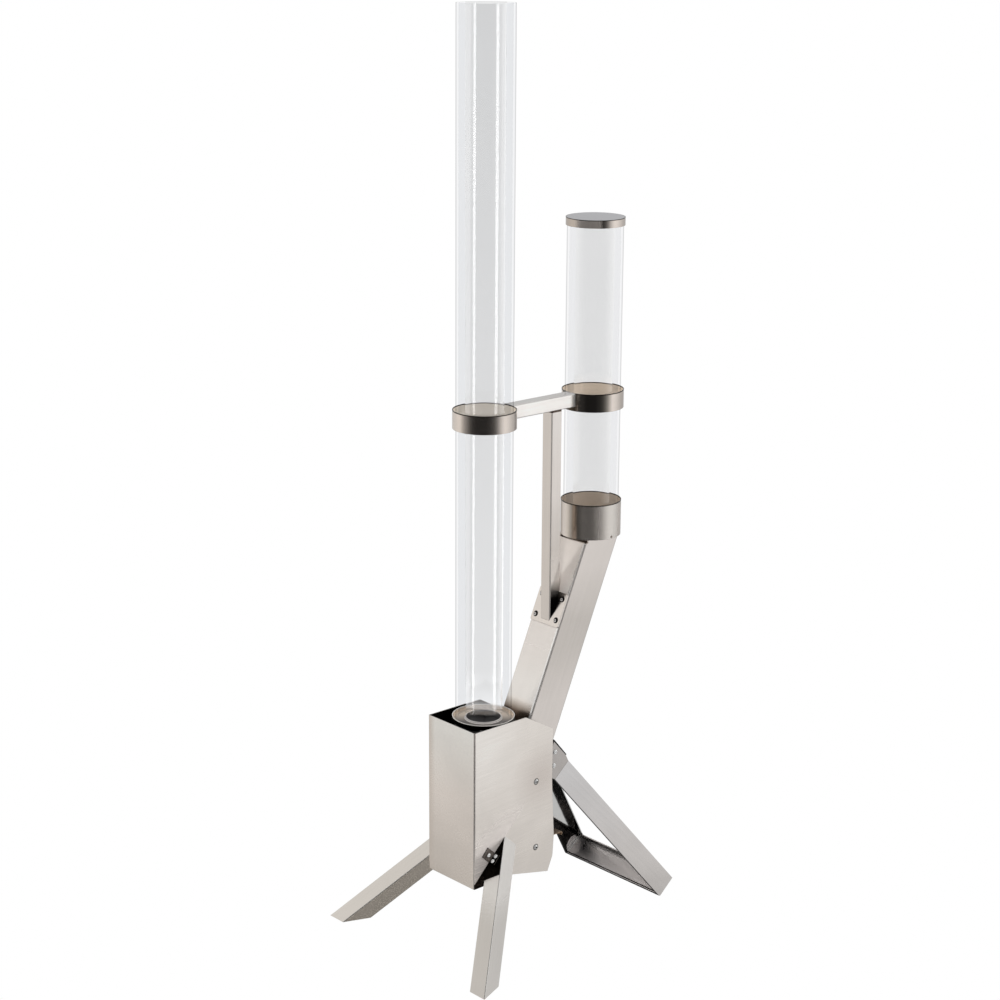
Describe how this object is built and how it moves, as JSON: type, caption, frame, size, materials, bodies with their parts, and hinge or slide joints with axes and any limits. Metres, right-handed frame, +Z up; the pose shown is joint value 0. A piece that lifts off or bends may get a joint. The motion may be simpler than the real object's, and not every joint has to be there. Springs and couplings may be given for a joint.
{
  "type": "pellet patio torch",
  "caption": "Free-standing pellet torch: a tall glass flame tube on a shrouded burner, fed by a sloping chute from a capped glass hopper, on splayed folded legs.",
  "frame": {"origin": "centre of the footprint on the ground", "axes": "+Z up along the tubes, -Y towards the front of the shroud, +Y towards the hopper and the rear stand, +X to the right seen from the back"},
  "size_m": [0.4348, 0.558, 1.6713],
  "materials": {
    "shroud_steel": "brushed",
    "bracket_steel": "brushed",
    "leg_steel": "brushed",
    "burner_steel": "heat-darkened",
    "grate_iron": "matte",
    "saddle_black": "satin",
    "screw_steel": "polished",
    "clear_glass": "polished"
  },
  "bodies": {
    "stand": {"shroud": "shroud_steel", "rear_baffle": "shroud_steel", "shroud_spacers": "bracket_steel", "shroud_screws": "screw_steel", "ash_box": "burner_steel", "fire_grate": "grate_iron", "burner_riser": "burner_steel", "burner_head": "burner_steel", "tube_seat": "bracket_steel", "feed_chute": "shroud_steel", "hopper_floor": "bracket_steel", "hopper_collar": "bracket_steel", "flame_ring": "bracket_steel", "hopper_ring": "bracket_steel", "cross_bar": "bracket_steel", "support_post": "bracket_steel", "post_foot": "bracket_steel", "post_foot_screws": "screw_steel", "front_leg_left": "leg_steel", "front_leg_right": "leg_steel", "leg_clip_left": "bracket_steel", "leg_clip_right": "bracket_steel", "leg_clip_screws": "screw_steel", "stand_saddle": "saddle_black", "rear_arm_left": "leg_steel", "rear_arm_right": "leg_steel", "rear_foot_bar": "leg_steel", "stand_screws": "screw_steel"},
    "flame_glass": {"flame_tube": "clear_glass"},
    "hopper_glass": {"hopper_tube": "clear_glass"},
    "hopper_lid": {"hopper_cap": "bracket_steel"},
    "ash_drawer": {"ash_pan": "burner_steel", "pan_handle": "burner_steel"}
  },
  "joints": [
    {"name": "flame_tube_lift", "type": "slide", "parent": "stand", "child": "flame_glass", "axis": [0, 0, 1], "range_m": [0, 0.58]},
    {"name": "hopper_tube_lift", "type": "slide", "parent": "stand", "child": "hopper_glass", "axis": [0, 0, 1], "range_m": [0, 0.28]},
    {"name": "hopper_cap_lift", "type": "slide", "parent": "hopper_glass", "child": "hopper_lid", "axis": [0, 0, 1], "range_m": [0, 0.15]},
    {"name": "ash_pan_slide", "type": "slide", "parent": "stand", "child": "ash_drawer", "axis": [0, 1, 0], "range_m": [0, 0.16]}
  ]
}
